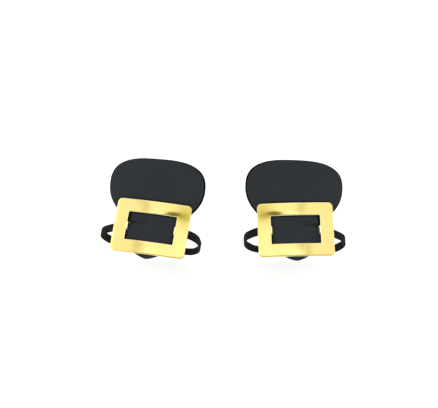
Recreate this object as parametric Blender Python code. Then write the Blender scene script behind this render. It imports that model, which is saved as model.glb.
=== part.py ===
# A pair of costume shoe covers. Each one is a tongue-shaped panel that lies over a
# shoe's instep, with a domed buckle clinched to it by two lugs and an elastic strap
# sewn to its back, which runs down the shoe's sides and under the waist of its sole.
# Units are metres and +Z is up. The toes point to -Y and the wearer's left is +X.
# The origin is midway between the two covers, level with the underside of the straps.

import math

import bmesh
import bpy
from mathutils import Vector

MM = 0.001

# How each cover sits. side is +1 towards +X, along is the buckle's centre in Y, toes_out
# turns the cover about Z, and fan_turn and fan_shift move the fan on its own panel.
# strap_sway moves the strap's loop outwards below the panel, and strap_lean turns its
# outer side towards the toes, because each cover sits a little askew on its shoe.
COVERS = (
    {"wearer": "left", "side": 1, "along": -45.0 * MM, "toes_out": math.radians(1.9),
     "fan_turn": math.radians(3.5), "fan_shift": 0.8 * MM,
     "strap_sway": 2.2 * MM, "strap_lean": math.tan(math.radians(2.4))},
    {"wearer": "right", "side": -1, "along": -42.9 * MM, "toes_out": math.radians(10.9),
     "fan_turn": math.radians(2.2), "fan_shift": 1.9 * MM,
     "strap_sway": 7.0 * MM, "strap_lean": math.tan(math.radians(0.9))},
)
HALF_SPACING = 65.9 * MM

# The instep that carries the panel: straight under the buckle, then steeper to the ankle.
# The fan stands off it at its sides, so it is flatter across than the foot.
INSTEP_SLOPE = math.radians(34)
ANKLE_BEND_START = 24.0 * MM
ANKLE_BEND_RADIUS = 110.0 * MM
INSTEP_ROUND = 100.0 * MM
FAN_ROUND = 220.0 * MM
FAN_ROUND_HEIGHTS = (5.0 * MM, 45.0 * MM)

# Panel: a wide fan above the buckle and a narrower tab behind and below it.
PANEL_THICKNESS = 2.0 * MM
FAN_HALF_WIDTH = 44.9 * MM
FAN_MIDDLE = 39.3 * MM
FAN_TOP = 64.7 * MM
FAN_LOWER_REACH = 34.7 * MM
FAN_TOP_POWER = 2.7
TAB_HALF_WIDTH = 32.0 * MM
TAB_BOTTOM = -28.8 * MM
TAB_POWER = 1.5
NECK_SHARPNESS = 16
FAN_TURN_START = 0.0
FAN_TURN_FULL = 20.0 * MM
# The fan's cut edge slopes: its back lies this much nearer the other foot than its face.
CUT_SKEW = 1.2 * MM

# Buckle: a stamped plate with a window, bent to a dome across the foot.
BUCKLE_WIDTH = 69.0 * MM
BUCKLE_LENGTH = 50.4 * MM
BUCKLE_BORDER = 12.1 * MM
BUCKLE_THICKNESS = 1.1 * MM
BUCKLE_CORNER = 4.0 * MM
WINDOW_CORNER = 0.8 * MM
BUCKLE_EDGE_ROUND = 0.3 * MM
BUCKLE_DOME = 2.2 * MM
BUCKLE_SEAT_GAP = 0.35 * MM

# Lugs: tabs bent back from the window's sides, through the panel and clinched behind.
LUG_THICKNESS = 1.0 * MM
LUG_WIDTH = 6.6 * MM
LUG_ACROSS = 21.85 * MM
LUG_ROOT_ACROSS = 23.85 * MM
LUG_FOOT_ACROSS = 15.95 * MM
LUG_DEPTH = 5.2 * MM
LUG_FOOT_RISE = 0.7 * MM
LUG_BEND = 0.9 * MM
SLIT_CLEARANCE = 0.35 * MM
SLIT_CUT_LIFTS = (-8.0 * MM, 2.0 * MM)

# Strap: flat elastic, sewn behind the panel at both ends.
STRAP_WIDTH = 8.0 * MM
STRAP_THICKNESS = 1.2 * MM
STRAP_EDGE_ROUND = 0.3 * MM
STRAP_END_ACROSS = 24.5 * MM
STRAP_LEAVES_PANEL = 31.5 * MM
SEAM_GAP = 0.3 * MM
SOLE_TILT = math.radians(12)
SOLE_DEPTH = 78.0 * MM

# One half of the strap's run below the panel, in the plane square to the instep:
# distance out from the foot's middle line, and depth below the panel's face.
STRAP_RUN = (
    {"out": 34.5 * MM, "depth": 10.9 * MM},
    {"out": 38.2 * MM, "depth": 15.9 * MM},
    {"out": 42.8 * MM, "depth": 23.6 * MM},
    {"out": 46.0 * MM, "depth": 31.8 * MM},
    {"out": 47.2 * MM, "depth": 41.0 * MM},
    {"out": 46.6 * MM, "depth": 51.5 * MM},
    {"out": 43.6 * MM, "depth": 62.5 * MM},
    {"out": 38.6 * MM, "depth": 72.0 * MM},
    {"out": 34.2 * MM, "depth": 76.5 * MM},
    {"out": 28.0 * MM, "depth": SOLE_DEPTH},
    {"out": 14.0 * MM, "depth": SOLE_DEPTH},
)
STRAP_SWAY_DEPTHS = (8.0 * MM, 42.0 * MM)
STRAP_TWIST_START = 60.0 * MM

# How finely the curved pieces are divided.
OUTLINE_POINTS = 80
OUTLINE_SAMPLES = 600
PANEL_RINGS = (0.2, 0.4, 0.6, 0.8, 0.93, 1.0)
PANEL_HEART = 22.0 * MM
BUCKLE_SIDE_STEPS = 12
BUCKLE_CORNER_STEPS = 4
STRAP_STEPS = 3

# Height of the panel's face at the buckle's centre, with the strap's underside at zero.
INSTEP_HEIGHT = (
    SOLE_DEPTH * math.cos(INSTEP_SLOPE)
    + STRAP_THICKNESS / 2 * math.cos(SOLE_TILT)
    + STRAP_WIDTH / 2 * math.sin(SOLE_TILT)
)


def clear_scene():
    for item in list(bpy.data.objects):
        bpy.data.objects.remove(item, do_unlink=True)


def finish_material(name, color, roughness, metallic):
    material = bpy.data.materials.new(name)
    material.use_nodes = True
    shader = material.node_tree.nodes["Principled BSDF"]
    shader.inputs["Base Color"].default_value = (*color, 1)
    shader.inputs["Roughness"].default_value = roughness
    shader.inputs["Metallic"].default_value = metallic
    return material


def make_object(name, rows, faces, side, material):
    """One closed body from points in the cover's own frame, mirrored for side -1."""
    shape = bmesh.new()
    corners = [shape.verts.new((side * p.x, p.y, p.z)) for p in rows]
    for face in faces:
        shape.faces.new([corners[i] for i in face])
    bmesh.ops.recalc_face_normals(shape, faces=shape.faces)
    mesh = bpy.data.meshes.new(name)
    shape.to_mesh(mesh)
    shape.free()
    mesh.shade_smooth()
    mesh.set_sharp_from_angle(angle=math.radians(35))
    if material:
        mesh.materials.append(material)
    item = bpy.data.objects.new(name, mesh)
    bpy.context.collection.objects.link(item)
    return item


def place(item, cover):
    side = cover["side"]
    item.location = (side * HALF_SPACING, cover["along"], INSTEP_HEIGHT)
    item.rotation_euler = (0, 0, side * cover["toes_out"])


def hide_guide(item):
    item.hide_render = True
    item.display_type = "WIRE"


def blend(amount):
    """Smooth step from 0 to 1."""
    t = min(max(amount, 0.0), 1.0)
    return t * t * (3 - 2 * t)


def instep_line(up):
    """Place and slope of the panel's middle line, at a distance up from the buckle's centre."""
    straight = min(up, ANKLE_BEND_START)
    y = straight * math.cos(INSTEP_SLOPE)
    z = straight * math.sin(INSTEP_SLOPE)
    turn = max(up - ANKLE_BEND_START, 0) / ANKLE_BEND_RADIUS
    slope = INSTEP_SLOPE + turn
    y += ANKLE_BEND_RADIUS * (math.sin(slope) - math.sin(INSTEP_SLOPE))
    z += ANKLE_BEND_RADIUS * (math.cos(INSTEP_SLOPE) - math.cos(slope))
    return y, z, slope


def instep_point(up, across, lift):
    """Straight across the foot, and lift out of the instep, from the middle line at up."""
    y, z, slope = instep_line(up)
    return Vector((across, y - lift * math.sin(slope), z + lift * math.cos(slope)))


def panel_point(up, out, lift):
    """On the panel's rounded face, out along its surface and lift above it."""
    start, full = FAN_ROUND_HEIGHTS
    radius = INSTEP_ROUND + (FAN_ROUND - INSTEP_ROUND) * blend((up - start) / (full - start))
    angle = out / radius
    across = (radius + lift) * math.sin(angle)
    height = (radius + lift) * math.cos(angle) - radius
    return instep_point(up, across, height)


def round_end(share, power):
    return max(1 - share ** power, 0.0) ** (1 / power)


def half_width(up):
    """Half of the flat panel's width, up from the buckle's centre."""
    if up > FAN_MIDDLE:
        return FAN_HALF_WIDTH * round_end((up - FAN_MIDDLE) / (FAN_TOP - FAN_MIDDLE), FAN_TOP_POWER)
    fan = FAN_HALF_WIDTH * round_end(min((FAN_MIDDLE - up) / FAN_LOWER_REACH, 1), 2)
    tab = TAB_HALF_WIDTH * round_end(max(up / TAB_BOTTOM, 0), TAB_POWER)
    return (fan ** NECK_SHARPNESS + tab ** NECK_SHARPNESS) ** (1 / NECK_SHARPNESS)


def evenly_spaced(points, count):
    """count points at equal distances round a closed outline."""
    lengths = [0.0]
    for a, b in zip(points, points[1:] + points[:1]):
        lengths.append(lengths[-1] + math.dist(a, b))
    spaced = []
    leg = 0
    for i in range(count):
        goal = lengths[-1] * i / count
        while lengths[leg + 1] < goal:
            leg += 1
        share = (goal - lengths[leg]) / (lengths[leg + 1] - lengths[leg])
        a = points[leg]
        b = points[(leg + 1) % len(points)]
        spaced.append((a[0] + share * (b[0] - a[0]), a[1] + share * (b[1] - a[1])))
    return spaced


def panel_outline(cover):
    """The flat panel's closed outline as (out, up), with the fan turned on its neck."""
    middle = (FAN_TOP + TAB_BOTTOM) / 2
    reach = (FAN_TOP - TAB_BOTTOM) / 2
    right = []
    for i in range(OUTLINE_SAMPLES):
        up = middle - reach * math.cos(math.pi * i / OUTLINE_SAMPLES)
        right.append((half_width(up), up))
    left = [(-out, up) for out, up in reversed(right[1:])]
    outline = []
    for out, up in evenly_spaced(right + [(0.0, FAN_TOP)] + left, OUTLINE_POINTS):
        share = blend((up - FAN_TURN_START) / (FAN_TURN_FULL - FAN_TURN_START))
        turn = cover["fan_turn"] * share
        shift = cover["fan_shift"] * share
        rise = up - FAN_MIDDLE
        outline.append((
            out * math.cos(turn) + rise * math.sin(turn) + shift,
            FAN_MIDDLE + rise * math.cos(turn) - out * math.sin(turn),
        ))
    return outline


def panel(cover):
    """The tongue-shaped panel, with a slit for each lug."""
    outline = panel_outline(cover)
    points = []
    faces = []
    count = len(outline)
    for lift, skew in ((0, 0), (-PANEL_THICKNESS, CUT_SKEW)):
        points.append(panel_point(PANEL_HEART, 0, lift))
        for ring in PANEL_RINGS:
            for out, up in outline:
                reach = out - skew * blend((up - FAN_TURN_START) / (FAN_TURN_FULL - FAN_TURN_START))
                points.append(panel_point(PANEL_HEART + ring * (up - PANEL_HEART), ring * reach, lift))
    face_size = 1 + len(PANEL_RINGS) * count
    for first in (0, face_size):
        for i in range(count):
            j = (i + 1) % count
            faces.append((first, first + 1 + i, first + 1 + j))
            for ring in range(len(PANEL_RINGS) - 1):
                inner = first + 1 + ring * count
                outer = inner + count
                faces.append((inner + i, outer + i, outer + j, inner + j))
    rim = face_size - count
    for i in range(count):
        j = (i + 1) % count
        faces.append((rim + i, rim + j, rim + j + face_size, rim + i + face_size))
    name = "tongue_" + cover["wearer"]
    material = finish_material(name + "_cloth", (0.03, 0.036, 0.038), 0.75, 0)
    item = make_object(name, points, faces, cover["side"], material)
    place(item, cover)
    for lug_side in (-1, 1):
        cutter = slit_cutter(cover, lug_side)
        cut = item.modifiers.new("slit", "BOOLEAN")
        cut.operation = "DIFFERENCE"
        cut.object = cutter
    return item


def slit_cutter(cover, lug_side):
    """A block that leaves SLIT_CLEARANCE all round the shank of a lug."""
    half_across = LUG_THICKNESS / 2 + SLIT_CLEARANCE
    half_up = LUG_WIDTH / 2 + SLIT_CLEARANCE
    points = []
    for lift in SLIT_CUT_LIFTS:
        for across, up in ((-1, -1), (1, -1), (1, 1), (-1, 1)):
            middle = lug_side * LUG_ACROSS
            points.append(instep_point(up * half_up, middle + across * half_across, lift))
    faces = [(0, 1, 2, 3), (4, 5, 6, 7)]
    faces += [(i, (i + 1) % 4, (i + 1) % 4 + 4, i + 4) for i in range(4)]
    cutter = make_object("slit_guide", points, faces, cover["side"], None)
    place(cutter, cover)
    hide_guide(cutter)
    return cutter


def dome_lift(across):
    """Height of the buckle's back over the instep's plane."""
    return BUCKLE_SEAT_GAP - BUCKLE_DOME * (across / (BUCKLE_WIDTH / 2)) ** 2


def rounded_rectangle(half_across, half_up, corner):
    """Points round a rectangle with arcs at its corners, as many on any size."""
    points = []
    turns = ((1, 1, 0), (-1, 1, 90), (-1, -1, 180), (1, -1, 270))
    for index, (sign_x, sign_y, start) in enumerate(turns):
        centre_x = sign_x * (half_across - corner)
        centre_y = sign_y * (half_up - corner)
        for step in range(BUCKLE_CORNER_STEPS + 1):
            angle = math.radians(start + 90 * step / BUCKLE_CORNER_STEPS)
            points.append((centre_x + corner * math.cos(angle), centre_y + corner * math.sin(angle)))
        next_x = turns[(index + 1) % 4][0] * (half_across - corner)
        next_y = turns[(index + 1) % 4][1] * (half_up - corner)
        last = points[-1]
        end_angle = math.radians(start + 90)
        end = (next_x + corner * math.cos(end_angle), next_y + corner * math.sin(end_angle))
        for step in range(1, BUCKLE_SIDE_STEPS):
            share = step / BUCKLE_SIDE_STEPS
            points.append((last[0] + share * (end[0] - last[0]), last[1] + share * (end[1] - last[1])))
    return points


def buckle_plate(cover, material):
    """The domed plate: loops from its outer edge over the front to the window and back."""
    half_across = BUCKLE_WIDTH / 2
    half_up = BUCKLE_LENGTH / 2
    edge = BUCKLE_EDGE_ROUND
    loops = (
        {"inset": 0, "lift": 0},
        {"inset": 0, "lift": BUCKLE_THICKNESS - edge},
        {"inset": edge, "lift": BUCKLE_THICKNESS},
        {"inset": BUCKLE_BORDER - edge, "lift": BUCKLE_THICKNESS},
        {"inset": BUCKLE_BORDER, "lift": BUCKLE_THICKNESS - edge},
        {"inset": BUCKLE_BORDER, "lift": 0},
    )
    points = []
    for loop in loops:
        share = loop["inset"] / BUCKLE_BORDER
        corner = BUCKLE_CORNER + share * (WINDOW_CORNER - BUCKLE_CORNER)
        for across, up in rounded_rectangle(half_across - loop["inset"], half_up - loop["inset"], corner):
            points.append(instep_point(up, across, dome_lift(across) + loop["lift"]))
    count = len(points) // len(loops)
    faces = []
    for row in range(len(loops)):
        here = row * count
        there = (row + 1) % len(loops) * count
        for i in range(count):
            j = (i + 1) % count
            faces.append((here + i, here + j, there + j, there + i))
    return make_object("buckle_" + cover["wearer"], points, faces, cover["side"], material)


def rounded_path(corners, radius, steps):
    """The polyline with each inner corner replaced by a curve that starts radius away."""
    path = [corners[0]]
    for before, corner, after in zip(corners, corners[1:], corners[2:]):
        start = corner + (before - corner).normalized() * radius
        end = corner + (after - corner).normalized() * radius
        for step in range(steps + 1):
            t = step / steps
            path.append((1 - t) ** 2 * start + 2 * t * (1 - t) * corner + t ** 2 * end)
    path.append(corners[-1])
    return path


def lug(cover, lug_side):
    """A bent tab: root in the plate, shank through the panel, foot clinched inwards."""
    root_lift = dome_lift(LUG_ACROSS) + BUCKLE_THICKNESS / 2
    corners = [
        Vector((LUG_ROOT_ACROSS, root_lift)),
        Vector((LUG_ACROSS, root_lift)),
        Vector((LUG_ACROSS, -LUG_DEPTH)),
        Vector((LUG_FOOT_ACROSS, LUG_FOOT_RISE - LUG_DEPTH)),
    ]
    path = rounded_path(corners, LUG_BEND, 4)
    points = []
    for i, spot in enumerate(path):
        ahead = path[min(i + 1, len(path) - 1)] - path[max(i - 1, 0)]
        normal = Vector((-ahead.y, ahead.x)).normalized() * LUG_THICKNESS / 2
        for thick, up in ((-1, -1), (1, -1), (1, 1), (-1, 1)):
            place_2d = spot + thick * normal
            points.append(instep_point(up * LUG_WIDTH / 2, lug_side * place_2d.x, place_2d.y))
    faces = [(0, 1, 2, 3), tuple(len(points) - 4 + i for i in range(4))]
    for row in range(len(path) - 1):
        for i in range(4):
            j = (i + 1) % 4
            faces.append((4 * row + i, 4 * row + j, 4 * row + 4 + j, 4 * row + 4 + i))
    return make_object("lug_guide", points, faces, cover["side"], None)


def buckle(cover):
    name = "buckle_" + cover["wearer"]
    material = finish_material(name + "_gold", (0.95, 0.74, 0.26), 0.22, 1)
    item = buckle_plate(cover, material)
    place(item, cover)
    for lug_side in (-1, 1):
        tab = lug(cover, lug_side)
        place(tab, cover)
        hide_guide(tab)
        join = item.modifiers.new("lug", "BOOLEAN")
        join.operation = "UNION"
        join.object = tab
    return item


def smooth_path(points, steps):
    """Catmull-Rom curve through the points."""
    rows = [points[0] * 2 - points[1]] + points + [points[-1] * 2 - points[-2]]
    path = []
    for a, b, c, d in zip(rows, rows[1:], rows[2:], rows[3:]):
        for step in range(steps):
            t = step / steps
            path.append(0.5 * (
                2 * b + (c - a) * t + (2 * a - 5 * b + 4 * c - d) * t ** 2
                + (3 * b - a - 3 * c + d) * t ** 3
            ))
    path.append(points[-1])
    return path


def strap_line(sway):
    """Points of the strap's middle as (out, lift), from one sewn end round to the other."""
    sway_start, sway_full = STRAP_SWAY_DEPTHS
    under_panel = -(PANEL_THICKNESS + SEAM_GAP + STRAP_THICKNESS / 2)
    half = []
    sewn_points = 3
    for i in range(sewn_points):
        out = STRAP_END_ACROSS + (STRAP_LEAVES_PANEL - STRAP_END_ACROSS) * i / (sewn_points - 1)
        angle = out / INSTEP_ROUND
        ring = INSTEP_ROUND + under_panel
        half.append(Vector((ring * math.sin(angle), ring * math.cos(angle) - INSTEP_ROUND)))
    half += [Vector((row["out"], -row["depth"])) for row in STRAP_RUN]
    other = [Vector((-p.x, p.y)) for p in reversed(half)]
    path = smooth_path(half + [Vector((0, -SOLE_DEPTH))] + other, STRAP_STEPS)
    for spot in path:
        spot.x += sway * blend((-spot.y - sway_start) / (sway_full - sway_start))
    return path


def strap_section():
    """The strap's cross-section as (along its width, out of its face), edges eased."""
    wide = STRAP_WIDTH / 2
    thick = STRAP_THICKNESS / 2
    ease = STRAP_EDGE_ROUND
    return [
        (-wide, -thick + ease), (-wide + ease, -thick), (wide - ease, -thick), (wide, -thick + ease),
        (wide, thick - ease), (wide - ease, thick), (-wide + ease, thick), (-wide, thick - ease),
    ]


def strap(cover):
    """The elastic, swept along its run and turned level where it passes under the sole."""
    path = strap_line(cover["strap_sway"])
    middles = [instep_point(-cover["strap_lean"] * spot.x, spot.x, spot.y) for spot in path]
    section = strap_section()
    points = []
    for i, spot in enumerate(path):
        run = (middles[min(i + 1, len(path) - 1)] - middles[max(i - 1, 0)]).normalized()
        level = blend((-spot.y - STRAP_TWIST_START) / (SOLE_DEPTH - STRAP_TWIST_START))
        tilt = INSTEP_SLOPE + level * (SOLE_TILT - INSTEP_SLOPE)
        width_way = Vector((0, math.cos(tilt), math.sin(tilt)))
        width_way = (width_way - run * width_way.dot(run)).normalized()
        face_way = run.cross(width_way)
        for wide, thick in section:
            points.append(middles[i] + wide * width_way + thick * face_way)
    size = len(section)
    last = len(points) - size
    faces = [tuple(range(size)), tuple(last + i for i in range(size))]
    for row in range(len(path) - 1):
        for i in range(size):
            j = (i + 1) % size
            faces.append((size * row + i, size * row + j, size * row + size + j, size * row + size + i))
    name = "elastic_" + cover["wearer"]
    material = finish_material(name + "_webbing", (0.02, 0.018, 0.017), 0.85, 0)
    item = make_object(name, points, faces, cover["side"], material)
    place(item, cover)
    return item


def build():
    clear_scene()
    for cover in COVERS:
        panel(cover)
        buckle(cover)
        strap(cover)


build()
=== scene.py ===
# Looks of a pair of costume shoe covers: dark tongue panels, domed gold buckles and
# ribbed elastic straps. Units are metres, and every length below is a real one.

import math

import bmesh
import bpy
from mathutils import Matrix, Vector


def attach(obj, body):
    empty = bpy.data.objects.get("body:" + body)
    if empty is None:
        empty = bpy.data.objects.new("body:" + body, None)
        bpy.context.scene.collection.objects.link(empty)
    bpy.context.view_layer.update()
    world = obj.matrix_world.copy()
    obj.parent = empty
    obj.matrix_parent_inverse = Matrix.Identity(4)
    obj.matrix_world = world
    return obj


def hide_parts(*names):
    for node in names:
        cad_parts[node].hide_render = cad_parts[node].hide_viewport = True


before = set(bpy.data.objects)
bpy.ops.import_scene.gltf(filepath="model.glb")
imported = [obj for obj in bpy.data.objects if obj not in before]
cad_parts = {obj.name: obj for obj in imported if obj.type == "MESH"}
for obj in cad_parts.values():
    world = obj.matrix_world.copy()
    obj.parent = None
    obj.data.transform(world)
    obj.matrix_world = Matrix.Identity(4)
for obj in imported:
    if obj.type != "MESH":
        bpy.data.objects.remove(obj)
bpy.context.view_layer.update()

MM = 0.001

# How each cover sits, as in the solids. side is its side of the pair, where its outer
# edge is.
COVERS = (
    {"wearer": "left", "side": 1, "along": -45.0 * MM, "toes_out": math.radians(1.9),
     "fan_turn": math.radians(3.5), "fan_shift": 0.8 * MM, "seed": 1.3,
     "strap_sway": 2.2 * MM, "strap_lean": math.tan(math.radians(2.4))},
    {"wearer": "right", "side": -1, "along": -42.9 * MM, "toes_out": math.radians(10.9),
     "fan_turn": math.radians(2.2), "fan_shift": 1.9 * MM, "seed": 4.7,
     "strap_sway": 7.0 * MM, "strap_lean": math.tan(math.radians(0.9))},
)
HALF_SPACING = 65.9 * MM

# The instep: straight under the buckle, steeper to the ankle, round across.
INSTEP_SLOPE = math.radians(34)
ANKLE_BEND_START = 24.0 * MM
ANKLE_BEND_RADIUS = 110.0 * MM
INSTEP_ROUND = 100.0 * MM
FAN_ROUND = 220.0 * MM
FAN_ROUND_HEIGHTS = (5.0 * MM, 45.0 * MM)

# Panel
PANEL_THICKNESS = 2.0 * MM
FAN_HALF_WIDTH = 44.9 * MM
FAN_MIDDLE = 39.3 * MM
FAN_TOP = 64.7 * MM
FAN_LOWER_REACH = 34.7 * MM
FAN_TOP_POWER = 2.7
TAB_HALF_WIDTH = 32.0 * MM
TAB_BOTTOM = -28.8 * MM
TAB_POWER = 1.5
NECK_SHARPNESS = 16
FAN_TURN_FULL = 20.0 * MM
CUT_SKEW = 1.2 * MM
PANEL_EDGE_ROUND = 0.45 * MM
PANEL_HEART = 22.0 * MM

# The face is given the cut edge's dark colour in a strip along the fan's inner edge: how wide the
# strip is, and how far towards the cover's inner side it starts.
DARK_EDGE_STRIP = 0.8 * MM
DARK_STRIP_FROM = -20.0 * MM

# Buckle
BUCKLE_WIDTH = 69.0 * MM
BUCKLE_LENGTH = 50.4 * MM
BUCKLE_BORDER = 12.1 * MM
BUCKLE_THICKNESS = 1.1 * MM
BUCKLE_CORNER = 4.0 * MM
WINDOW_CORNER = 0.8 * MM
BUCKLE_EDGE_ROUND = 0.6 * MM
BUCKLE_CROWN = 0.12 * MM
BUCKLE_DOME = 2.2 * MM
BUCKLE_SEAT_GAP = 0.35 * MM

# Spots on the plating, painted brown and made duller than the rest, and pale lines along the
# window's edge and the upper edge. The spots round the window's upper inner corner are tarnish and
# painted dark reflection, and the two faint spots on the upper and lower borders are painted dark
# reflection only. The pale lines are painted highlights.
REFLECTION_AND_TARNISH_COLOR = (0.42, 0.34, 0.01)
SPOT_DULLING = 0.2
PAINTED_HIGHLIGHT_COLOR = (1.0, 0.93, 0.60)
PAINTED_HIGHLIGHT_WIDTH = 0.7 * MM
REFLECTION_AND_TARNISH_SPOTS = (
    {"across": -19.5 * MM, "up": 15.0 * MM, "wide": 7.5 * MM, "long": 2.4 * MM, "strength": 0.86},
    {"across": -29.5 * MM, "up": 13.4 * MM, "wide": 5.0 * MM, "long": 3.4 * MM, "strength": 0.5},
    {"across": -29.5 * MM, "up": 17.0 * MM, "wide": 10.0 * MM, "long": 11.5 * MM, "strength": 0.55},
    {"across": -25.5 * MM, "up": 13.6 * MM, "wide": 2.6 * MM, "long": 2.2 * MM, "strength": 0.5},
    # The last two spots are painted dark reflection: faint dark bands on the upper and lower
    # borders.
    {"across": 7.0 * MM, "up": 24.0 * MM, "wide": 3.4 * MM, "long": 9.0 * MM, "strength": 0.16},
    {"across": 10.0 * MM, "up": -20.0 * MM, "wide": 3.2 * MM, "long": 9.0 * MM, "strength": 0.3},
)
BUCKLE_DENTS = (
    {"across": -19.5 * MM, "up": 13.5 * MM, "wide": 7.4 * MM, "long": 2.5 * MM, "depth": 0.62 * MM},
    {"across": 22.5 * MM, "up": -13.0 * MM, "wide": 5.0 * MM, "long": 5.0 * MM, "depth": 0.06 * MM},
)

# Lugs
LUG_THICKNESS = 1.0 * MM
LUG_WIDTH = 6.6 * MM
LUG_ACROSS = 21.85 * MM
LUG_ROOT_ACROSS = 23.85 * MM
LUG_FOOT_ACROSS = 15.95 * MM
LUG_DEPTH = 5.2 * MM
LUG_FOOT_RISE = 0.7 * MM
LUG_BEND = 0.9 * MM
LUG_BEND_STEPS = 10
SLIT_CLEARANCE = 0.35 * MM
SLIT_CUT_LIFTS = (-8.0 * MM, 2.0 * MM)

# Strap. Both of its edges thin out to STRAP_EDGE_SHARE of its thickness.
STRAP_WIDTH = 8.0 * MM
STRAP_THICKNESS = 1.2 * MM
STRAP_EDGE_INSET = 0.05 * MM
STRAP_EDGE_SHARE = 0.45
STRAP_EDGE_POWER = 14
STRAP_END_ACROSS = 24.5 * MM
STRAP_LEAVES_PANEL = 31.5 * MM
SEAM_GAP = 0.3 * MM
SOLE_TILT = math.radians(12)
SOLE_DEPTH = 78.0 * MM
STRAP_TWIST_START = 60.0 * MM
STRAP_RIBS = 9
STRAP_RIB_HEIGHT = 0.13 * MM
STRAP_RUN = (
    {"out": 34.5 * MM, "depth": 10.9 * MM},
    {"out": 38.2 * MM, "depth": 15.9 * MM},
    {"out": 42.8 * MM, "depth": 23.6 * MM},
    {"out": 46.0 * MM, "depth": 31.8 * MM},
    {"out": 47.2 * MM, "depth": 41.0 * MM},
    {"out": 46.6 * MM, "depth": 51.5 * MM},
    {"out": 43.6 * MM, "depth": 62.5 * MM},
    {"out": 38.6 * MM, "depth": 72.0 * MM},
    {"out": 34.2 * MM, "depth": 76.5 * MM},
    {"out": 28.0 * MM, "depth": SOLE_DEPTH},
    {"out": 14.0 * MM, "depth": SOLE_DEPTH},
)
STRAP_SWAY_DEPTHS = (8.0 * MM, 42.0 * MM)

# Soft troughs in the panel's face, from one flat place to another, and ridges where the
# depth is negative. out is towards the cover's outer side. A trough's width grows along it
# by TROUGH_SPREAD, from the first share of its half_width to the second.
TROUGHS = (
    {"out": 22.0 * MM, "up": 3.2 * MM, "to_out": 6.0 * MM, "to_up": 4.0 * MM,
     "depth": 1.2 * MM, "half_width": 1.4 * MM},
    {"out": 17.0 * MM, "up": 0.0 * MM, "to_out": 9.0 * MM, "to_up": -4.0 * MM,
     "depth": -0.9 * MM, "half_width": 2.6 * MM},
    {"out": -20.5 * MM, "up": 3.0 * MM, "to_out": -12.0 * MM, "to_up": 5.5 * MM,
     "depth": 0.15 * MM, "half_width": 1.6 * MM},
    {"out": 34.0 * MM, "up": 22.0 * MM, "to_out": 20.0 * MM, "to_up": 30.0 * MM,
     "depth": 0.3 * MM, "half_width": 4.0 * MM},
    {"out": -35.0 * MM, "up": 23.0 * MM, "to_out": -24.0 * MM, "to_up": 28.0 * MM,
     "depth": 0.25 * MM, "half_width": 4.0 * MM},
)
TROUGH_SPREAD = (0.6, 1.5)
BACK_TROUGH_SHARE = 0.25
FAN_WAVE_HEIGHT = 0.5 * MM
FAN_WAVE_LENGTH = 46.0 * MM
FAN_WAVE_UPWARD = 0.6

# Painted shade on the panel's face, as soft boxes of flat places: dark strips beside the window's
# sides and along its top, a painted shadow line above the buckle's upper edge, and painted shade in
# the crease.
PAINTED_SHADE_BOXES = (
    {"out": 22.4 * MM, "up": 8.6 * MM, "half_out": 1.9 * MM, "half_up": 4.4 * MM,
     "soft": 0.4 * MM, "strength": 1.0},
    {"out": 23.4 * MM, "up": -8.4 * MM, "half_out": 1.7 * MM, "half_up": 4.6 * MM,
     "soft": 0.4 * MM, "strength": 1.0},
    {"out": -22.6 * MM, "up": -8.2 * MM, "half_out": 1.7 * MM, "half_up": 4.8 * MM,
     "soft": 0.4 * MM, "strength": 1.0},
    {"out": 0.0 * MM, "up": 13.9 * MM, "half_out": 23.5 * MM, "half_up": 1.6 * MM,
     "soft": 0.4 * MM, "strength": 1.0},
    {"out": 0.0 * MM, "up": 26.1 * MM, "half_out": 33.0 * MM, "half_up": 0.75 * MM,
     "soft": 0.5 * MM, "strength": 0.8},
    {"out": 17.5 * MM, "up": 4.3 * MM, "half_out": 4.0 * MM, "half_up": 0.7 * MM,
     "soft": 0.9 * MM, "strength": 0.75},
    {"out": 10.0 * MM, "up": 5.2 * MM, "half_out": 4.5 * MM, "half_up": 1.6 * MM,
     "soft": 2.0 * MM, "strength": 0.35},
)
PAINTED_SHADE_COLOR = (0.004, 0.004, 0.004)

# Sewing that holds each end of the strap: a box of stitches through strap and panel. A
# stitch fills STITCH_REACH of its pitch. Its middle rises by STITCH_RISE of its thickness,
# and its ends dip by STITCH_DIP less that.
SEAM_BOX = {"inner": 25.6 * MM, "outer": 30.6 * MM, "half_up": 2.7 * MM}
STITCH_LENGTH = 1.45 * MM
STITCH_GAP = 0.35 * MM
STITCH_REACH = (0.08, 0.92)
STITCH_THICKNESS = 0.32 * MM
STITCH_RISE = 0.35
STITCH_DIP = 1.1

# How finely the pieces are divided. The coating shows on the first COATED_STEPS of the
# panel's rounded edge.
OUTLINE_POINTS = 320
OUTLINE_SAMPLES = 1500
PANEL_RINGS = 40
ROUND_STEPS = 4
COATED_STEPS = 2
BUCKLE_SIDE_STEPS = 56
BUCKLE_CORNER_STEPS = 10
BUCKLE_BORDER_STEPS = 12
STRAP_STEPS = 10
STRAP_SEWN_POINTS = 3
STRAP_RIB_STEPS = 4
STITCH_POINTS = 7
STITCH_SIDES = 6

# The least angle between two faces that shows as an edge.
SHARP_ANGLES = {
    "panel": math.radians(50), "buckle": math.radians(40), "strap": math.radians(60),
    "thread": math.radians(50),
}

# The two tones of each material, which a texture mixes.
COATING_TONES = ((0.0206, 0.0250, 0.0286), (0.0260, 0.0310, 0.0355))
CORE_TONES = ((0.0015, 0.0015, 0.0015), (0.004, 0.004, 0.004))
BACKING_TONES = ((0.012, 0.012, 0.013), (0.034, 0.034, 0.036))
PLATING_TONES = ((0.93, 0.70, 0.25), (0.95, 0.82, 0.32))
ELASTIC_TONES = ((0.0060, 0.0060, 0.0050), (0.0136, 0.0136, 0.0112))
THREAD_TONES = ((0.008, 0.008, 0.009), (0.03, 0.03, 0.033))
BACKING_PITCH = 0.9 * MM
ELASTIC_PITCH = 0.7 * MM

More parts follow.
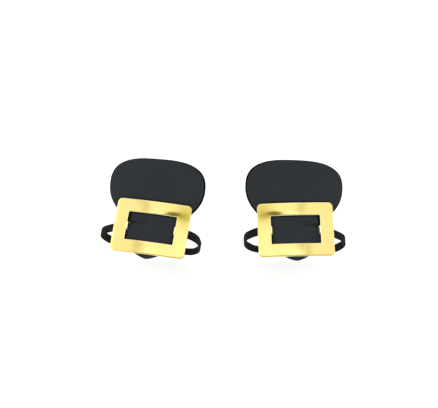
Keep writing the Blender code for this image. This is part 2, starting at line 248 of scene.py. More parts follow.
# Studio. The room's tone turns from the horizon's to the ceiling's between two heights of
# the direction looked in, where level is 0 and straight up is 1.
FLOOR_HEIGHT = -16.0 * MM
FLOOR_SIZE = 8
FLOOR_COLOR = (0.92, 0.92, 0.92, 1)
FLOOR_GLOW = 0.3
CAMERA_PLACE = (-3.8 * MM, -835.7 * MM, 759.7 * MM)
CAMERA_PITCH = math.radians(40)
PHOTO_WIDTH_PX = 438
FOCAL_PX = 1160
SENSOR_WIDTH = 36
CLIP_START = 0.01
CLIP_END = 50
HORIZON_TONE = (0.80, 0.80, 0.80)
CEILING_TONE = (0.20, 0.196, 0.17)
CEILING_HEIGHTS = (0.32, 0.52)
SOFTBOXES = (
    {"name": "overhead_middle", "place": (-0.148, -0.13, 1.55), "target": (-0.148, -0.13, 0),
     "width": 0.815, "height": 1.6, "brightness": 1.02},
    {"name": "overhead_left", "place": (-1.01, -0.13, 1.55), "target": (-1.01, -0.13, 0),
     "width": 0.82, "height": 1.6, "brightness": 0.92},
    {"name": "overhead_right", "place": (0.71, -0.13, 1.55), "target": (0.71, -0.13, 0),
     "width": 0.82, "height": 1.6, "brightness": 0.92},
    {"name": "overhead_front", "place": (-0.14, -0.77, 1.52), "target": (-0.14, -0.77, 0),
     "width": 0.72, "height": 0.36, "brightness": 0.10},
    {"name": "glint_left", "place": (-0.50, -0.66, 1.5), "target": (-0.50, -0.66, 0),
     "width": 0.10, "height": 0.14, "brightness": 1.2},
    {"name": "glint_right", "place": (0.235, -0.69, 1.5), "target": (0.235, -0.69, 0),
     "width": 0.10, "height": 0.14, "brightness": 1.2},
    {"name": "back_wall", "place": (0, 1.7, 1.1), "target": (0, 0, 0.1),
     "width": 3.2, "height": 2.0, "brightness": 1.2},
    {"name": "front_wall", "place": (0, -2.2, 0.4), "target": (0, 0, 0.1),
     "width": 4.0, "height": 0.8, "brightness": 1.0},
    {"name": "left_wall", "place": (-1.8, 0, 1.0), "target": (0, 0, 0.1),
     "width": 2.4, "height": 1.8, "brightness": 1.1},
    {"name": "right_wall", "place": (1.8, 0, 1.0), "target": (0, 0, 0.1),
     "width": 2.4, "height": 1.8, "brightness": 1.1},
)

INSTEP_HEIGHT = (
    SOLE_DEPTH * math.cos(INSTEP_SLOPE)
    + STRAP_THICKNESS / 2 * math.cos(SOLE_TILT)
    + STRAP_WIDTH / 2 * math.sin(SOLE_TILT)
)


# Form of the instep, shared by every piece

def blend(amount):
    """Smooth step from 0 to 1."""
    t = min(max(amount, 0.0), 1.0)
    return t * t * (3 - 2 * t)


def instep_line(up):
    """Place and slope of the panel's middle line, at a distance up from the buckle's centre."""
    straight = min(up, ANKLE_BEND_START)
    y = straight * math.cos(INSTEP_SLOPE)
    z = straight * math.sin(INSTEP_SLOPE)
    turn = max(up - ANKLE_BEND_START, 0) / ANKLE_BEND_RADIUS
    slope = INSTEP_SLOPE + turn
    y += ANKLE_BEND_RADIUS * (math.sin(slope) - math.sin(INSTEP_SLOPE))
    z += ANKLE_BEND_RADIUS * (math.cos(INSTEP_SLOPE) - math.cos(slope))
    return y, z, slope


def instep_point(up, across, lift):
    """Straight across the foot, and lift out of the instep, from the middle line at up."""
    y, z, slope = instep_line(up)
    return Vector((across, y - lift * math.sin(slope), z + lift * math.cos(slope)))


def panel_point(up, out, lift):
    """On the panel's rounded face, out along its surface and lift above it."""
    start, full = FAN_ROUND_HEIGHTS
    radius = INSTEP_ROUND + (FAN_ROUND - INSTEP_ROUND) * blend((up - start) / (full - start))
    angle = out / radius
    across = (radius + lift) * math.sin(angle)
    height = (radius + lift) * math.cos(angle) - radius
    return instep_point(up, across, height)


# Meshes

def new_piece(name, cover, points, faces, uvs=None, slots=None):
    """A mesh from points in the cover's own frame, moved to where the cover sits."""
    side = cover["side"]
    shape = bmesh.new()
    turn = side * cover["toes_out"]
    corners = []
    for p in points:
        x = side * p.x
        corners.append(shape.verts.new((
            side * HALF_SPACING + x * math.cos(turn) - p.y * math.sin(turn),
            cover["along"] + x * math.sin(turn) + p.y * math.cos(turn),
            INSTEP_HEIGHT + p.z,
        )))
    layer = shape.loops.layers.uv.new("flat") if uvs else None
    for number, face in enumerate(faces):
        made = shape.faces.new([corners[i] for i in face])
        made.material_index = slots[number] if slots else 0
        if uvs:
            for loop, i in zip(made.loops, face):
                loop[layer].uv = uvs[i]
    bmesh.ops.recalc_face_normals(shape, faces=shape.faces)
    mesh = bpy.data.meshes.new(name)
    shape.to_mesh(mesh)
    shape.free()
    piece = bpy.data.objects.new(name, mesh)
    bpy.context.collection.objects.link(piece)
    return piece


def combine(piece, other, operation):
    """piece joined with or cut by other, which is then removed."""
    boolean = piece.modifiers.new("shape", "BOOLEAN")
    boolean.operation = operation
    boolean.object = other
    seen = piece.evaluated_get(bpy.context.evaluated_depsgraph_get())
    mesh = bpy.data.meshes.new_from_object(seen)
    piece.modifiers.clear()
    piece.data = mesh
    bpy.data.objects.remove(other, do_unlink=True)


def smooth(piece, sharp_angle):
    piece.data.shade_smooth()
    piece.data.set_sharp_from_angle(angle=sharp_angle)


def way_along(path, i):
    """Direction of a path at its point i."""
    return (path[min(i + 1, len(path) - 1)] - path[max(i - 1, 0)]).normalized()


def tube_faces(rows, size):
    """Quads between rows of size points each, and a cap on the first and last row."""
    faces = [tuple(range(size)), tuple((rows - 1) * size + i for i in range(size))]
    for row in range(rows - 1):
        here = size * row
        there = here + size
        for i in range(size):
            j = (i + 1) % size
            faces.append((here + i, here + j, there + j, there + i))
    return faces


def between(a, b, share):
    """The flat place a share of the way from a to b."""
    return a[0] + share * (b[0] - a[0]), a[1] + share * (b[1] - a[1])


# Panel

def round_end(share, power):
    return max(1 - share ** power, 0.0) ** (1 / power)


def half_width(up):
    """Half of the flat panel's width, up from the buckle's centre."""
    if up > FAN_MIDDLE:
        return FAN_HALF_WIDTH * round_end((up - FAN_MIDDLE) / (FAN_TOP - FAN_MIDDLE), FAN_TOP_POWER)
    fan = FAN_HALF_WIDTH * round_end(min((FAN_MIDDLE - up) / FAN_LOWER_REACH, 1), 2)
    tab = TAB_HALF_WIDTH * round_end(max(up / TAB_BOTTOM, 0), TAB_POWER)
    return (fan ** NECK_SHARPNESS + tab ** NECK_SHARPNESS) ** (1 / NECK_SHARPNESS)


def evenly_spaced(points, count):
    """count points at equal distances round a closed outline."""
    lengths = [0.0]
    for a, b in zip(points, points[1:] + points[:1]):
        lengths.append(lengths[-1] + math.dist(a, b))
    spaced = []
    leg = 0
    for i in range(count):
        goal = lengths[-1] * i / count
        while lengths[leg + 1] < goal:
            leg += 1
        share = (goal - lengths[leg]) / (lengths[leg + 1] - lengths[leg])
        spaced.append(between(points[leg], points[(leg + 1) % len(points)], share))
    return spaced


def flat_outline():
    """The flat panel's closed outline as (out, up), before the fan is turned."""
    middle = (FAN_TOP + TAB_BOTTOM) / 2
    reach = (FAN_TOP - TAB_BOTTOM) / 2
    right = []
    for i in range(OUTLINE_SAMPLES):
        up = middle - reach * math.cos(math.pi * i / OUTLINE_SAMPLES)
        right.append((half_width(up), up))
    left = [(-out, up) for out, up in reversed(right[1:])]
    return evenly_spaced(right + [(0.0, FAN_TOP)] + left, OUTLINE_POINTS)


def turned_outline(cover):
    outline = []
    for out, up in flat_outline():
        share = blend(up / FAN_TURN_FULL)
        turn = cover["fan_turn"] * share
        rise = up - FAN_MIDDLE
        outline.append((
            out * math.cos(turn) + rise * math.sin(turn) + cover["fan_shift"] * share,
            FAN_MIDDLE + rise * math.cos(turn) - out * math.sin(turn),
        ))
    return outline


def trough_depth(out, up):
    """How far the face is pressed in at a flat place."""
    depth = 0.0
    for trough in TROUGHS:
        along = Vector((trough["to_out"] - trough["out"], trough["to_up"] - trough["up"]))
        from_start = Vector((out - trough["out"], up - trough["up"]))
        share = min(max(from_start.dot(along) / along.length_squared, 0.0), 1.0)
        distance = (from_start - along * share).length
        narrow, wide = TROUGH_SPREAD
        width = trough["half_width"] * (narrow + (wide - narrow) * share)
        depth += trough["depth"] * (1 - blend(share)) * math.exp(-(distance / width) ** 2)
    return depth


def fan_wave(out, up, seed):
    """Slow waves that grow towards the fan's free edge."""
    free = blend((up - FAN_TURN_FULL) / (FAN_TOP - FAN_TURN_FULL))
    turn = 2 * math.pi / FAN_WAVE_LENGTH
    sideways = math.sin(turn * out + seed)
    upwards = math.cos(FAN_WAVE_UPWARD * turn * up + 2 * seed)
    return FAN_WAVE_HEIGHT * free * sideways * upwards


def panel_rows():
    """Rows of the panel's skin from the front's heart over the edge to the back's heart."""
    rows = []
    for ring in range(1, PANEL_RINGS):
        rows.append({"share": ring / PANEL_RINGS, "inset": 0, "lift": 0, "slot": 0})
    rows.append({"share": 1, "inset": DARK_EDGE_STRIP, "lift": 0, "slot": 0})
    for step in range(ROUND_STEPS + 1):
        angle = math.pi / 2 * step / ROUND_STEPS
        rows.append({
            "share": 1,
            "inset": PANEL_EDGE_ROUND * (1 - math.sin(angle)),
            "lift": -PANEL_EDGE_ROUND * (1 - math.cos(angle)),
            "slot": 0 if step < COATED_STEPS else 1,
        })
    for row in reversed(rows):
        slot = 1 if row["slot"] == 1 else 2
        rows.append({**row, "lift": -PANEL_THICKNESS - row["lift"], "slot": slot})
    return rows


def skin_slot(rows, row, place):
    """Which cloth a face from one row to the next shows: 0 its face, 1 its cut edge, 2 its back."""
    if row >= len(rows) / 2:
        return rows[row]["slot"]
    # The strip of the face along the fan's inner edge takes the cut edge's dark colour.
    dark_strip = rows[row]["share"] == 1 and place[0] < DARK_STRIP_FROM and place[1] > 0
    return 1 if dark_strip else rows[row + 1]["slot"]


def make_panel(cover, materials):
    outline = turned_outline(cover)
    heart = (0.0, PANEL_HEART)
    flat = []
    points = []
    faces = []
    slots = []

    def add(out, up, lift):
        pressed = trough_depth(out, up)
        out += CUT_SKEW * lift / PANEL_THICKNESS * blend(up / FAN_TURN_FULL)
        if lift < -PANEL_THICKNESS / 2:
            pressed *= BACK_TROUGH_SHARE
        flat.append((out, up))
        points.append(panel_point(up, out, lift - pressed + fan_wave(out, up, cover["seed"])))

    rows = panel_rows()
    add(*heart, 0)
    for row in rows:
        for out, up in outline:
            reach = math.dist((out, up), heart)
            share = row["share"] - row["inset"] / reach
            add(*between(heart, (out, up), share), row["lift"])
    add(*heart, -PANEL_THICKNESS)
    count = len(outline)
    last = 1 + (len(rows) - 1) * count
    for i in range(count):
        j = (i + 1) % count
        faces.append((0, 1 + i, 1 + j))
        slots.append(0)
        faces.append((len(points) - 1, last + j, last + i))
        slots.append(2)
        for row in range(len(rows) - 1):
            here = 1 + row * count
            there = here + count
            faces.append((here + i, there + i, there + j, here + j))
            slots.append(skin_slot(rows, row, outline[i]))
    piece = new_piece("panel_" + cover["wearer"], cover, points, faces, flat, slots)
    for material in materials:
        piece.data.materials.append(material)
    for lug_side in (-1, 1):
        combine(piece, slit_cutter(cover, lug_side), "DIFFERENCE")
    smooth(piece, SHARP_ANGLES["panel"])
    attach(piece, "root")
    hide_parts("tongue_" + cover["wearer"])


def slit_cutter(cover, lug_side):
    """A block that leaves SLIT_CLEARANCE all round the shank of a lug."""
    half_across = LUG_THICKNESS / 2 + SLIT_CLEARANCE
    half_up = LUG_WIDTH / 2 + SLIT_CLEARANCE
    points = []
    for lift in SLIT_CUT_LIFTS:
        for across, up in ((-1, -1), (1, -1), (1, 1), (-1, 1)):
            middle = lug_side * LUG_ACROSS
            points.append(instep_point(up * half_up, middle + across * half_across, lift))
    return new_piece("slit_cutter", cover, points, tube_faces(2, 4))


# Buckle

def nearness(spot, across, up):
    """1 at the middle of a dent or tarnished spot, fading to 0 round it."""
    away = math.hypot((across - spot["across"]) / spot["wide"], (up - spot["up"]) / spot["long"])
    return math.exp(-away ** 2)


def dome_lift(across, up):
    """Height of the buckle's back over the instep's plane, with its small dents."""
    lift = BUCKLE_SEAT_GAP - BUCKLE_DOME * (across / (BUCKLE_WIDTH / 2)) ** 2
    for dent in BUCKLE_DENTS:
        lift -= dent["depth"] * nearness(dent, across, up)
    return lift


def rounded_rectangle(half_across, half_up, corner):
    """Points round a rectangle with arcs at its corners, as many on any size."""
    points = []
    turns = ((1, 1, 0), (-1, 1, 90), (-1, -1, 180), (1, -1, 270))
    for index, (sign_x, sign_y, start) in enumerate(turns):
        centre_x = sign_x * (half_across - corner)
        centre_y = sign_y * (half_up - corner)
        for step in range(BUCKLE_CORNER_STEPS + 1):
            angle = math.radians(start + 90 * step / BUCKLE_CORNER_STEPS)
            x = centre_x + corner * math.cos(angle)
            y = centre_y + corner * math.sin(angle)
            points.append((x, y))
        next_x, next_y, _ = turns[(index + 1) % 4]
        side_start = points[-1]
        side_end = (
            next_x * (half_across - corner) + corner * math.cos(angle),
            next_y * (half_up - corner) + corner * math.sin(angle),
        )
        for step in range(1, BUCKLE_SIDE_STEPS):
            points.append(between(side_start, side_end, step / BUCKLE_SIDE_STEPS))
    return points


def buckle_loops():
    """Loops round the border: up its outer edge, over the crowned front, down to the window."""
    edge = BUCKLE_EDGE_ROUND
    rounding = [{"inset": 0, "lift": 0}]
    for step in range(ROUND_STEPS + 1):
        angle = math.pi / 2 * step / ROUND_STEPS
        rounding.append({
            "inset": edge * (1 - math.cos(angle)),
            "lift": BUCKLE_THICKNESS - edge * (1 - math.sin(angle)),
        })
    front = []
    for step in range(1, BUCKLE_BORDER_STEPS):
        share = step / BUCKLE_BORDER_STEPS
        front.append({
            "inset": edge + share * (BUCKLE_BORDER - 2 * edge),
            "lift": BUCKLE_THICKNESS + BUCKLE_CROWN * (1 - (2 * share - 1) ** 2),
        })
    down = [{**row, "inset": BUCKLE_BORDER - row["inset"]} for row in reversed(rounding)]
    return rounding + front + down


def edge_distance(across, up):
    """How far a place is from the window's edge or the plate's upper edge, the nearer one."""
    window_across = BUCKLE_WIDTH / 2 - BUCKLE_BORDER
    window_up = BUCKLE_LENGTH / 2 - BUCKLE_BORDER
    from_window = max(abs(across) - window_across, abs(up) - window_up)
    return min(abs(from_window), abs(BUCKLE_LENGTH / 2 - up))


def mark_finish(piece, cover):
    """Keeps on each point how strongly it is painted with tarnish and dark reflection, and how
    strongly with highlight, from its place on the plate.
    """
    turn = cover["side"] * cover["toes_out"]
    marks = piece.data.attributes.new("reflection_and_tarnish", "FLOAT", "POINT")
    highlights = piece.data.attributes.new("painted_highlight", "FLOAT", "POINT")
    for vertex, mark, highlight in zip(piece.data.vertices, marks.data, highlights.data):
        x = vertex.co.x - cover["side"] * HALF_SPACING
        y = vertex.co.y - cover["along"]
        across = cover["side"] * (x * math.cos(turn) + y * math.sin(turn))
        forward = y * math.cos(turn) - x * math.sin(turn)
        height = vertex.co.z - INSTEP_HEIGHT
        up = forward * math.cos(INSTEP_SLOPE) + height * math.sin(INSTEP_SLOPE)
        # How strongly the point is painted with tarnish and dark reflection.
        unmarked = 1.0
        for spot in REFLECTION_AND_TARNISH_SPOTS:
            unmarked *= 1 - spot["strength"] * nearness(spot, across, up)
        mark.value = 1 - unmarked
        # Painted highlight: pale lines along the window's edge and the plate's upper edge.
        highlight.value = 1 - blend(edge_distance(across, up) / PAINTED_HIGHLIGHT_WIDTH)


def make_buckle(cover, material):
    loops = buckle_loops()
    points = []
    for loop in loops:
        half_across = BUCKLE_WIDTH / 2 - loop["inset"]
        half_up = BUCKLE_LENGTH / 2 - loop["inset"]
        share = loop["inset"] / BUCKLE_BORDER
        corner = BUCKLE_CORNER + share * (WINDOW_CORNER - BUCKLE_CORNER)
        for across, up in rounded_rectangle(half_across, half_up, corner):
            points.append(instep_point(up, across, dome_lift(across, up) + loop["lift"]))
    count = len(points) // len(loops)
    faces = []
    for row in range(len(loops)):
        here = row * count
        there = (row + 1) % len(loops) * count
        for i in range(count):
            j = (i + 1) % count
            faces.append((here + i, here + j, there + j, there + i))
    piece = new_piece("gilt_buckle_" + cover["wearer"], cover, points, faces)
    piece.data.materials.append(material)
    for lug_side in (-1, 1):
        combine(piece, make_lug(cover, lug_side), "UNION")
    mark_finish(piece, cover)
    smooth(piece, SHARP_ANGLES["buckle"])
    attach(piece, "root")
    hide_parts("buckle_" + cover["wearer"])


def rounded_path(corners, radius, steps):
    """The polyline with each inner corner replaced by a curve that starts radius away."""
    path = [corners[0]]
    for before, corner, after in zip(corners, corners[1:], corners[2:]):
        start = corner + (before - corner).normalized() * radius
        end = corner + (after - corner).normalized() * radius
        for step in range(steps + 1):
            t = step / steps
            path.append((1 - t) ** 2 * start + 2 * t * (1 - t) * corner + t ** 2 * end)
    path.append(corners[-1])
    return path


def make_lug(cover, lug_side):
    """A bent tab: root in the plate, shank through the panel, foot clinched inwards."""
    root_lift = dome_lift(LUG_ACROSS, 0) + BUCKLE_THICKNESS / 2
    corners = [
        Vector((LUG_ROOT_ACROSS, root_lift)),
        Vector((LUG_ACROSS, root_lift)),
        Vector((LUG_ACROSS, -LUG_DEPTH)),
        Vector((LUG_FOOT_ACROSS, LUG_FOOT_RISE - LUG_DEPTH)),
    ]
    path = rounded_path(corners, LUG_BEND, LUG_BEND_STEPS)
    points = []
    for i, spot in enumerate(path):
        ahead = way_along(path, i)
        normal = Vector((-ahead.y, ahead.x)) * LUG_THICKNESS / 2
        for thick, up in ((-1, -1), (1, -1), (1, 1), (-1, 1)):
            corner = spot + thick * normal
            points.append(instep_point(up * LUG_WIDTH / 2, lug_side * corner.x, corner.y))
    return new_piece("lug", cover, points, tube_faces(len(path), 4))


# Strap

def smooth_path(points, steps):
    """Catmull-Rom curve through the points."""
    rows = [points[0] * 2 - points[1]] + points + [points[-1] * 2 - points[-2]]
    path = []
    for a, b, c, d in zip(rows, rows[1:], rows[2:], rows[3:]):
        for step in range(steps):
            t = step / steps
            path.append(0.5 * (
                2 * b + (c - a) * t + (2 * a - 5 * b + 4 * c - d) * t ** 2
                + (3 * b - a - 3 * c + d) * t ** 3
            ))
    path.append(points[-1])
    return path


def strap_line(sway):
    """Points of the strap's middle as (out, lift), from one sewn end round to the other."""
    sway_start, sway_full = STRAP_SWAY_DEPTHS
    under_panel = -(PANEL_THICKNESS + SEAM_GAP + STRAP_THICKNESS / 2)
    half = []
    for i in range(STRAP_SEWN_POINTS):
        share = i / (STRAP_SEWN_POINTS - 1)
        out = STRAP_END_ACROSS + share * (STRAP_LEAVES_PANEL - STRAP_END_ACROSS)
        angle = out / INSTEP_ROUND
        ring = INSTEP_ROUND + under_panel
        half.append(Vector((ring * math.sin(angle), ring * math.cos(angle) - INSTEP_ROUND)))
    half += [Vector((row["out"], -row["depth"])) for row in STRAP_RUN]
    other = [Vector((-p.x, p.y)) for p in reversed(half)]
    path = smooth_path(half + [Vector((0, -SOLE_DEPTH))] + other, STRAP_STEPS)
    for spot in path:
        spot.x += sway * blend((-spot.y - sway_start) / (sway_full - sway_start))
    return path


def strap_section():
    """The ribbed cross-section as (along the width, out of the face), counter-clockwise."""
    samples = STRAP_RIBS * STRAP_RIB_STEPS
    face = []
    for i in range(samples + 1):
        share = i / samples
        wide = (share - 0.5) * (STRAP_WIDTH - 2 * STRAP_EDGE_INSET)
        rib = STRAP_RIB_HEIGHT * (0.5 - 0.5 * math.cos(2 * math.pi * share * STRAP_RIBS))
        edge = abs(2 * share - 1) ** STRAP_EDGE_POWER
        thick = (STRAP_THICKNESS / 2 - STRAP_RIB_HEIGHT + rib) * (1 - (1 - STRAP_EDGE_SHARE) * edge)
        face.append((wide, thick))
    under = [(wide, -thick) for wide, thick in face]
    return under + face[::-1]


def make_strap(cover, material):
    path = strap_line(cover["strap_sway"])
    section = strap_section()
    points = []
    uvs = []
    travelled = 0.0
    middles = [instep_point(-cover["strap_lean"] * spot.x, spot.x, spot.y) for spot in path]
    for i, spot in enumerate(path):
        run = way_along(middles, i)
        level = blend((-spot.y - STRAP_TWIST_START) / (SOLE_DEPTH - STRAP_TWIST_START))
        tilt = INSTEP_SLOPE + level * (SOLE_TILT - INSTEP_SLOPE)
        width_way = Vector((0, math.cos(tilt), math.sin(tilt)))
        width_way = (width_way - run * width_way.dot(run)).normalized()
        face_way = run.cross(width_way)
        travelled += (middles[i] - middles[max(i - 1, 0)]).length
        for wide, thick in section:
            points.append(middles[i] + wide * width_way + thick * face_way)
            uvs.append((travelled, wide))
    faces = tube_faces(len(path), len(section))
    piece = new_piece("strap_" + cover["wearer"], cover, points, faces, uvs)
    piece.data.materials.append(material)
    smooth(piece, SHARP_ANGLES["strap"])
    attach(piece, "root")
    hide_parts("elastic_" + cover["wearer"])


# Sewing

def stitch_ends(seam_side):
    """Where each stitch of the box starts and ends, as flat places on the panel."""
    inner, outer, half_up = SEAM_BOX["inner"], SEAM_BOX["outer"], SEAM_BOX["half_up"]
    corners = [(inner, -half_up), (outer, -half_up), (outer, half_up), (inner, half_up)]
    stitches = []
    for a, b in zip(corners, corners[1:] + corners[:1]):
        length = math.dist(a, b)
        count = round(length / (STITCH_LENGTH + STITCH_GAP))
        for i in range(count):
            ends = []
            for reach in STITCH_REACH:
                out, up = between(a, b, (i + reach) / count)
                ends.append((seam_side * out, up))
            stitches.append(ends)
    return stitches


def stitch_path(start, end, lean, surface, way):
    """Points of one stitch that dips into the cloth at both ends. way is out of the cloth."""
    path = []
    for step in range(STITCH_POINTS):
        share = step / (STITCH_POINTS - 1)
        rise = STITCH_THICKNESS * (STITCH_RISE - STITCH_DIP * abs(2 * share - 1) ** 3)
        out, up = between(start, end, share)
        path.append(panel_point(up - lean * out, out, surface + way * rise))
    return path


def thread_points(path):
    """Rings of points round a path, STITCH_SIDES to a ring."""
    points = []
    outwards = instep_point(0, 0, 1) - instep_point(0, 0, 0)
    for i, spot in enumerate(path):
        run = way_along(path, i)
        side_way = run.cross(outwards).normalized()
        lift_way = side_way.cross(run)
        for turn in range(STITCH_SIDES):
            angle = 2 * math.pi * turn / STITCH_SIDES
            ring = math.cos(angle) * side_way + math.sin(angle) * lift_way
            points.append(spot + STITCH_THICKNESS / 2 * ring)
    return points


def make_stitches(cover, material):
    """Thread on the panel's face and on the strap's back, one box at each end of the strap."""
    points = []
    faces = []
    back = -(PANEL_THICKNESS + SEAM_GAP + STRAP_THICKNESS)
    for seam_side in (-1, 1):
        for start, end in stitch_ends(seam_side):
            for surface, way in ((0.0, 1), (back, -1)):
                path = stitch_path(start, end, cover["strap_lean"], surface, way)
                first = len(points)
                points += thread_points(path)
                for face in tube_faces(len(path), STITCH_SIDES):
                    faces.append(tuple(first + i for i in face))
    piece = new_piece("thread_" + cover["wearer"], cover, points, faces)
    piece.data.materials.append(material)
    smooth(piece, SHARP_ANGLES["thread"])
    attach(piece, "root")


# Materials

def material_tree(name):
    material = bpy.data.materials.new(name)
    material.use_nodes = True
    tree = material.node_tree
    return material, tree, tree.nodes["Principled BSDF"]


def set_inputs(node, **inputs):
    """Sets a node's input sockets by name, with _ for a space."""
    for key, value in inputs.items():
        node.inputs[key.replace("_", " ")].default_value = value


def add_node(tree, kind, **inputs):
    node = tree.nodes.new(kind)
    set_inputs(node, **inputs)
    return node


def object_place(tree):
    """Where a point is, in metres."""
    return tree.nodes.new("ShaderNodeTexCoord").outputs["Object"]


def point_value(tree, name):
    """The value that the mesh keeps on each point under a name."""
    node = tree.nodes.new("ShaderNodeAttribute")
    node.attribute_name = name
    return node.outputs["Fac"]


def color_between(tree, factor, tones):
    """A ramp from one tone to the other."""
    ramp = tree.nodes.new("ShaderNodeValToRGB")
    for stop, tone in zip(ramp.color_ramp.elements, tones):
        stop.color = (*tone, 1)
    tree.links.new(factor, ramp.inputs["Fac"])
    return ramp.outputs["Color"]


def add_bump(tree, shader, height, strength, distance):
    bump = add_node(tree, "ShaderNodeBump", Strength=strength, Distance=distance)
    tree.links.new(height, bump.inputs["Height"])
    tree.links.new(bump.outputs["Normal"], shader.inputs["Normal"])


def noise_texture(tree, coordinates, scale, detail=2.0, roughness=0.5):
    node = add_node(tree, "ShaderNodeTexNoise", Scale=scale, Detail=detail, Roughness=roughness)
    tree.links.new(coordinates, node.inputs["Vector"])
    return node.outputs["Fac"]


def maths(tree, operation, *values):
    """The result of a maths node on sockets and plain numbers."""
    node = tree.nodes.new("ShaderNodeMath")
    node.operation = operation
    for socket, value in zip(node.inputs, values):
        if isinstance(value, (int, float)):
            socket.default_value = value
        else:
            tree.links.new(value, socket)
    return node.outputs[0]


def mixed(tree, factor, first, second):
    """A mix of a colour socket and a plain colour."""
    node = tree.nodes.new("ShaderNodeMix")
    node.data_type = "RGBA"
    tree.links.new(factor, node.inputs["Factor"])
    tree.links.new(first, node.inputs["A"])
    node.inputs["B"].default_value = (*second, 1)
    return node.outputs["Result"]


def flat_place(tree):
    """Sockets of the flat coordinates, in metres."""
    place = tree.nodes.new("ShaderNodeUVMap")
    place.uv_map = "flat"
    split = tree.nodes.new("ShaderNodeSeparateXYZ")
    tree.links.new(place.outputs["UV"], split.inputs["Vector"])
    return split.outputs["X"], split.outputs["Y"]


def soft_boxes(tree, boxes):
    """How strongly the boxes of flat places mark a point, from 0 outside them all."""
    out, up = flat_place(tree)
    marked = 0.0
    for box in boxes:
        reach_out = maths(tree, "ABSOLUTE", maths(tree, "SUBTRACT", out, box["out"]))
        reach_up = maths(tree, "ABSOLUTE", maths(tree, "SUBTRACT", up, box["up"]))
        in_out = maths(tree, "SUBTRACT", box["half_out"], reach_out)
        in_up = maths(tree, "SUBTRACT", box["half_up"], reach_up)
        depth = maths(tree, "SMOOTH_MIN", in_out, in_up, box["soft"])
        share = maths(tree, "MULTIPLY_ADD", depth, 0.5 / box["soft"], 0.5)
        inside = maths(tree, "MINIMUM", share, 1.0)
        marked = maths(tree, "MAXIMUM", marked, maths(tree, "MULTIPLY", inside, box["strength"]))
    return marked


def panel_front():
    """Matte coated cloth: fine pebble grain over slow changes of tone, with painted shade by the
    buckle and in the crease.
    """
    material, tree, shader = material_tree("coated_cloth_face")
    place = object_place(tree)
    tone = noise_texture(tree, place, scale=45, detail=3)
    unmarked = color_between(tree, tone, COATING_TONES)
    # Painted shade: dark strips by the window's sides and top, a shadow line above the buckle's
    # upper edge, and shade in the crease.
    marks = soft_boxes(tree, PAINTED_SHADE_BOXES)
    tree.links.new(mixed(tree, marks, unmarked, PAINTED_SHADE_COLOR), shader.inputs["Base Color"])
    grain = add_node(tree, "ShaderNodeTexVoronoi", Scale=1700)
    grain.feature = "SMOOTH_F1"
    tree.links.new(place, grain.inputs["Vector"])
    add_bump(tree, shader, grain.outputs["Distance"], strength=0.35, distance=0.12 * MM)
    set_inputs(shader, Roughness=0.68, Specular_IOR_Level=0.12)
    return material


def panel_edge():
    """The cut edge: a darker core with the backing's threads in it."""
    material, tree, shader = material_tree("coated_cloth_cut_edge")
    fray = noise_texture(tree, object_place(tree), scale=1500, detail=3)
    tree.links.new(color_between(tree, fray, CORE_TONES), shader.inputs["Base Color"])
    add_bump(tree, shader, fray, strength=0.5, distance=0.2 * MM)
    set_inputs(shader, Roughness=1, Specular_IOR_Level=0.05)
    return material


def weave_height(tree, along_pitch, across_pitch):
    """Height of a plain weave over the flat coordinates, from two crossed waves."""
    waves = []
    for place, pitch in zip(flat_place(tree), (along_pitch, across_pitch)):
        waves.append(maths(tree, "SINE", maths(tree, "MULTIPLY", place, 2 * math.pi / pitch)))
    return maths(tree, "MULTIPLY_ADD", maths(tree, "MULTIPLY", *waves), 0.5, 0.5)


def panel_back():
    """The woven backing on the panel's underside."""
    material, tree, shader = material_tree("coated_cloth_backing")
    height = weave_height(tree, BACKING_PITCH, BACKING_PITCH)
    tree.links.new(color_between(tree, height, BACKING_TONES), shader.inputs["Base Color"])
    add_bump(tree, shader, height, strength=0.6, distance=0.2 * MM)
    set_inputs(shader, Roughness=0.92, Sheen_Weight=0.15)
    return material


def gilt():
    """Pale gold plating, polished, with tarnish and painted dark reflection in spots, painted
    highlight lines along the window's edge and the upper edge, and faint polishing marks.
    """
    material, tree, shader = material_tree("gold_plating")
    place = object_place(tree)
    reflection_and_tarnish = point_value(tree, "reflection_and_tarnish")
    painted_highlight = point_value(tree, "painted_highlight")
    tone = noise_texture(tree, place, scale=60)
    # Painted dark reflection and tarnish, mixed over the plating's colour from the spots.
    spotted = mixed(tree, reflection_and_tarnish, color_between(tree, tone, PLATING_TONES), REFLECTION_AND_TARNISH_COLOR)
    # Painted highlight lines mixed over the plating's colour.
    tree.links.new(mixed(tree, painted_highlight, spotted, PAINTED_HIGHLIGHT_COLOR), shader.inputs["Base Color"])
    haze = add_node(tree, "ShaderNodeMapRange", To_Min=0.12, To_Max=0.18)
    tree.links.new(noise_texture(tree, place, scale=160, detail=3), haze.inputs["Value"])
    dulled = maths(tree, "MULTIPLY_ADD", reflection_and_tarnish, SPOT_DULLING, haze.outputs["Result"])
    tree.links.new(dulled, shader.inputs["Roughness"])
    scratches = noise_texture(tree, place, scale=2400, detail=4, roughness=0.7)
    add_bump(tree, shader, scratches, strength=0.015, distance=0.02 * MM)
    set_inputs(shader, Metallic=1)
    return material


def webbing():
    """Black woven elastic: short slanted stitches across the ribs."""
    material, tree, shader = material_tree("woven_elastic")
    height = weave_height(tree, ELASTIC_PITCH, STRAP_WIDTH / STRAP_RIBS / 2)
    tree.links.new(color_between(tree, height, ELASTIC_TONES), shader.inputs["Base Color"])
    add_bump(tree, shader, height, strength=0.5, distance=0.15 * MM)
    set_inputs(shader, Roughness=0.8, Specular_IOR_Level=0.05)
    return material


def thread():
    material, tree, shader = material_tree("black_thread")
    twist = noise_texture(tree, object_place(tree), scale=3500)
    tree.links.new(color_between(tree, twist, THREAD_TONES), shader.inputs["Base Color"])
    add_bump(tree, shader, twist, strength=0.4, distance=0.1 * MM)
    set_inputs(shader, Roughness=0.6)
    return material


# Studio

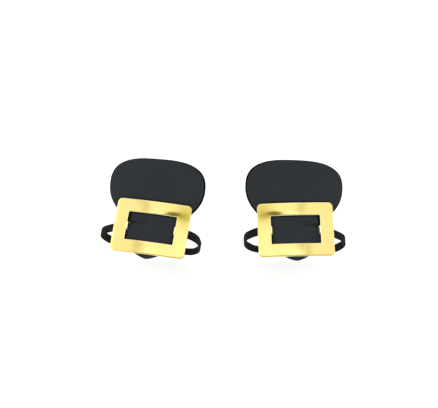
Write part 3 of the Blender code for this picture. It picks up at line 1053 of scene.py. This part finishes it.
def make_floor():
    bpy.ops.mesh.primitive_plane_add(size=FLOOR_SIZE, location=(0, 0, FLOOR_HEIGHT))
    floor = bpy.context.object
    floor.name = "studio_floor"
    material, _, shader = material_tree("studio_floor_paint")
    set_inputs(shader, Base_Color=FLOOR_COLOR, Roughness=0.9, Specular_IOR_Level=0.1)
    set_inputs(shader, Emission_Color=(1, 1, 1, 1), Emission_Strength=FLOOR_GLOW)
    floor.data.materials.append(material)


def make_softbox(name, place, target, width, height, brightness):
    """A rectangular light whose face has the given radiance."""
    light = bpy.data.lights.new(name, "AREA")
    light.shape = "RECTANGLE"
    light.size = width
    light.size_y = height
    light.energy = brightness * math.pi * width * height
    lamp = bpy.data.objects.new(name, light)
    bpy.context.collection.objects.link(lamp)
    lamp.location = place
    lamp.rotation_euler = (Vector(target) - Vector(place)).to_track_quat("-Z", "Y").to_euler()


def make_lights():
    """Three softboxes overhead with narrow gaps between them, a weak one and two small ones
    in front of them, and a white wall on every side.
    """
    for box in SOFTBOXES:
        make_softbox(**box)


def make_world():
    """A pale room round the set, darker above the lamps' height."""
    world = bpy.data.worlds.new("studio")
    bpy.context.scene.world = world
    world.use_nodes = True
    tree = world.node_tree
    split = tree.nodes.new("ShaderNodeSeparateXYZ")
    place = tree.nodes.new("ShaderNodeTexCoord")
    tree.links.new(place.outputs["Generated"], split.inputs["Vector"])
    room = color_between(tree, split.outputs["Z"], (HORIZON_TONE, CEILING_TONE))
    stops = room.node.color_ramp.elements
    stops[0].position, stops[1].position = CEILING_HEIGHTS
    tree.links.new(room, tree.nodes["Background"].inputs["Color"])


def make_camera():
    data = bpy.data.cameras.new("camera")
    data.sensor_width = SENSOR_WIDTH
    data.lens = SENSOR_WIDTH * FOCAL_PX / PHOTO_WIDTH_PX
    data.clip_start = CLIP_START
    data.clip_end = CLIP_END
    camera = bpy.data.objects.new("camera", data)
    bpy.context.collection.objects.link(camera)
    camera.location = CAMERA_PLACE
    camera.rotation_euler = (math.pi / 2 - CAMERA_PITCH, 0, 0)
    bpy.context.scene.camera = camera


def main():
    coated_cloth = (panel_front(), panel_edge(), panel_back())
    gold = gilt()
    elastic = webbing()
    black_thread = thread()
    make_camera()
    for cover in COVERS:
        make_strap(cover, elastic)
        make_panel(cover, coated_cloth)
        make_buckle(cover, gold)
        make_stitches(cover, black_thread)
    make_floor()
    make_world()
    make_lights()
    bpy.context.scene.view_settings.view_transform = "Standard"


main()
